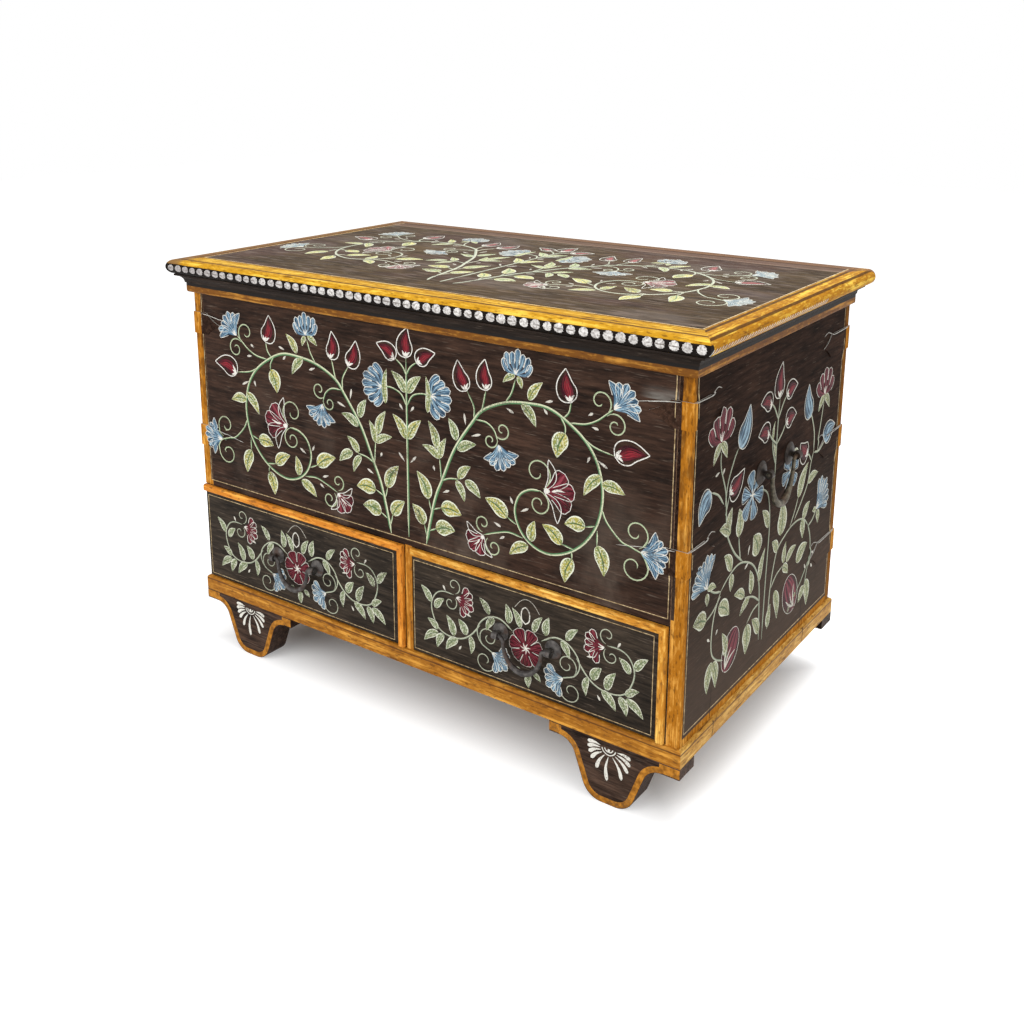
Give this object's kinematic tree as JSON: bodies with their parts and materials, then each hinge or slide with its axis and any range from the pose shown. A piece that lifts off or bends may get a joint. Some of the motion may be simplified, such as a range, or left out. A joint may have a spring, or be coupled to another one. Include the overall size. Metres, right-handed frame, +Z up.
{
  "type": "lift-lid chest with drawers",
  "caption": "Painted wooden chest with a hinged lift-up lid, a deep upper hollow, drawers below, iron corner straps, drop handles and lobed feet.",
  "frame": {"origin": "on the floor, under the middle of the lid, which is the middle of the whole object", "axes": "+X along the front towards its right end, +Y from the front to the back, +Z up"},
  "size_m": [1.072, 0.646, 0.749],
  "materials": {
    "dark_painted_wood": "dark brown paint, worn satin",
    "ochre_painted_wood": "ochre paint, worn satin",
    "bare_wood": "bare aged wood",
    "wrought_iron": "hand-forged, darkened"
  },
  "bodies": {
    "carcass": {"front_panel": "dark_painted_wood", "left_end_panel": "dark_painted_wood", "right_end_panel": "dark_painted_wood", "back_lower_board": "bare_wood", "back_upper_board": "bare_wood", "chest_floor": "bare_wood", "bottom_board": "bare_wood", "drawer_divider": "dark_painted_wood", "drawer_runners": "bare_wood", "drawer_stops": "bare_wood", "base_rail_front": "ochre_painted_wood", "base_rail_left": "ochre_painted_wood", "base_rail_right": "ochre_painted_wood", "base_rail_back": "dark_painted_wood", "foot_front_left": "dark_painted_wood", "foot_front_right": "dark_painted_wood", "foot_back_left": "dark_painted_wood", "foot_back_right": "dark_painted_wood", "top_band_front": "ochre_painted_wood", "top_band_left": "ochre_painted_wood", "top_band_right": "ochre_painted_wood", "front_corner_straps": "wrought_iron", "back_corner_straps": "wrought_iron", "left_handle_posts": "wrought_iron", "right_handle_posts": "wrought_iron", "hinge_left_lower_leaf": "wrought_iron", "hinge_right_lower_leaf": "wrought_iron", "hinge_left_pin": "wrought_iron", "hinge_right_pin": "wrought_iron"},
    "lid": {"lid_front_board": "dark_painted_wood", "lid_rear_board": "dark_painted_wood", "lid_moulding_front": "dark_painted_wood", "lid_moulding_left": "dark_painted_wood", "lid_moulding_right": "dark_painted_wood", "lid_back_rail": "bare_wood", "lid_left_batten": "bare_wood", "lid_right_batten": "bare_wood", "hinge_left_upper_leaf": "wrought_iron", "hinge_right_upper_leaf": "wrought_iron"},
    "left_drawer": {"left_drawer_front": "dark_painted_wood", "left_drawer_top_bead": "ochre_painted_wood", "left_drawer_end_bead": "ochre_painted_wood", "left_drawer_left_side": "bare_wood", "left_drawer_right_side": "bare_wood", "left_drawer_back": "bare_wood", "left_drawer_bottom": "bare_wood", "left_drawer_pull_posts": "wrought_iron"},
    "right_drawer": {"right_drawer_front": "dark_painted_wood", "right_drawer_top_bead": "ochre_painted_wood", "right_drawer_end_bead": "ochre_painted_wood", "right_drawer_left_side": "bare_wood", "right_drawer_right_side": "bare_wood", "right_drawer_back": "bare_wood", "right_drawer_bottom": "bare_wood", "right_drawer_pull_posts": "wrought_iron"},
    "left_drawer_bail": {"left_drawer_bail": "wrought_iron"},
    "right_drawer_bail": {"right_drawer_bail": "wrought_iron"},
    "left_handle_bail": {"left_handle_bail": "wrought_iron"},
    "right_handle_bail": {"right_handle_bail": "wrought_iron"}
  },
  "joints": [
    {"name": "lid_hinge", "type": "hinge", "parent": "carcass", "child": "lid", "pos_m": [0, 0.315, 0.7035], "axis": [-1, 0, 0], "range_deg": [0, 100]},
    {"name": "left_drawer_slide", "type": "slide", "parent": "carcass", "child": "left_drawer", "axis": [0, -1, 0], "range_m": [0, 0.4]},
    {"name": "right_drawer_slide", "type": "slide", "parent": "carcass", "child": "right_drawer", "axis": [0, -1, 0], "range_m": [0, 0.4]},
    {"name": "left_pull_swing", "type": "hinge", "parent": "left_drawer", "child": "left_drawer_bail", "pos_m": [-0.26175, -0.3055, 0.223], "axis": [-1, 0, 0], "range_deg": [0, 165]},
    {"name": "right_pull_swing", "type": "hinge", "parent": "right_drawer", "child": "right_drawer_bail", "pos_m": [0.235, -0.3055, 0.223], "axis": [-1, 0, 0], "range_deg": [0, 165]},
    {"name": "left_handle_swing", "type": "hinge", "parent": "carcass", "child": "left_handle_bail", "pos_m": [-0.5145, 0.009, 0.483], "axis": [0, 1, 0], "range_deg": [0, 165]},
    {"name": "right_handle_swing", "type": "hinge", "parent": "carcass", "child": "right_handle_bail", "pos_m": [0.5145, 0.009, 0.483], "axis": [0, -1, 0], "range_deg": [0, 165]}
  ]
}
